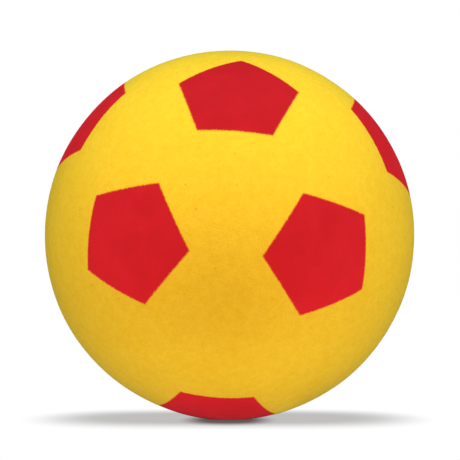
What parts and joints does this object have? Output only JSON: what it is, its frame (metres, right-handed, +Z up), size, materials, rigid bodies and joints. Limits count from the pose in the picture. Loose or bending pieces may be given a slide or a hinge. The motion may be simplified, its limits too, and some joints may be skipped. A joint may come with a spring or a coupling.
{
  "type": "soft soccer ball",
  "caption": "Soft moulded foam play ball with flush red pentagon prints in the classic soccer layout, slightly flattened where it rests.",
  "frame": {"origin": "centre of the flattened spot that the ball rests on, straight below the ball's centre", "axes": "+Z up from the resting surface, -Y towards the front of the ball as it is pictured, +X to that view's right"},
  "size_m": [0.2, 0.2, 0.1997],
  "materials": {
    "yellow_foam": "matte",
    "red_print": "matte"
  },
  "bodies": {
    "root": {"foam_core": "yellow_foam", "pentagon_front_top": "red_print", "pentagon_front_right": "red_print", "pentagon_right_upper": "red_print", "pentagon_back_top": "red_print", "pentagon_left_upper": "red_print", "pentagon_front_left": "red_print", "pentagon_back_bottom": "red_print", "pentagon_bottom": "red_print", "pentagon_left_lower": "red_print", "pentagon_back_left": "red_print", "pentagon_back_right": "red_print", "pentagon_right_lower": "red_print"}
  },
  "joints": []
}
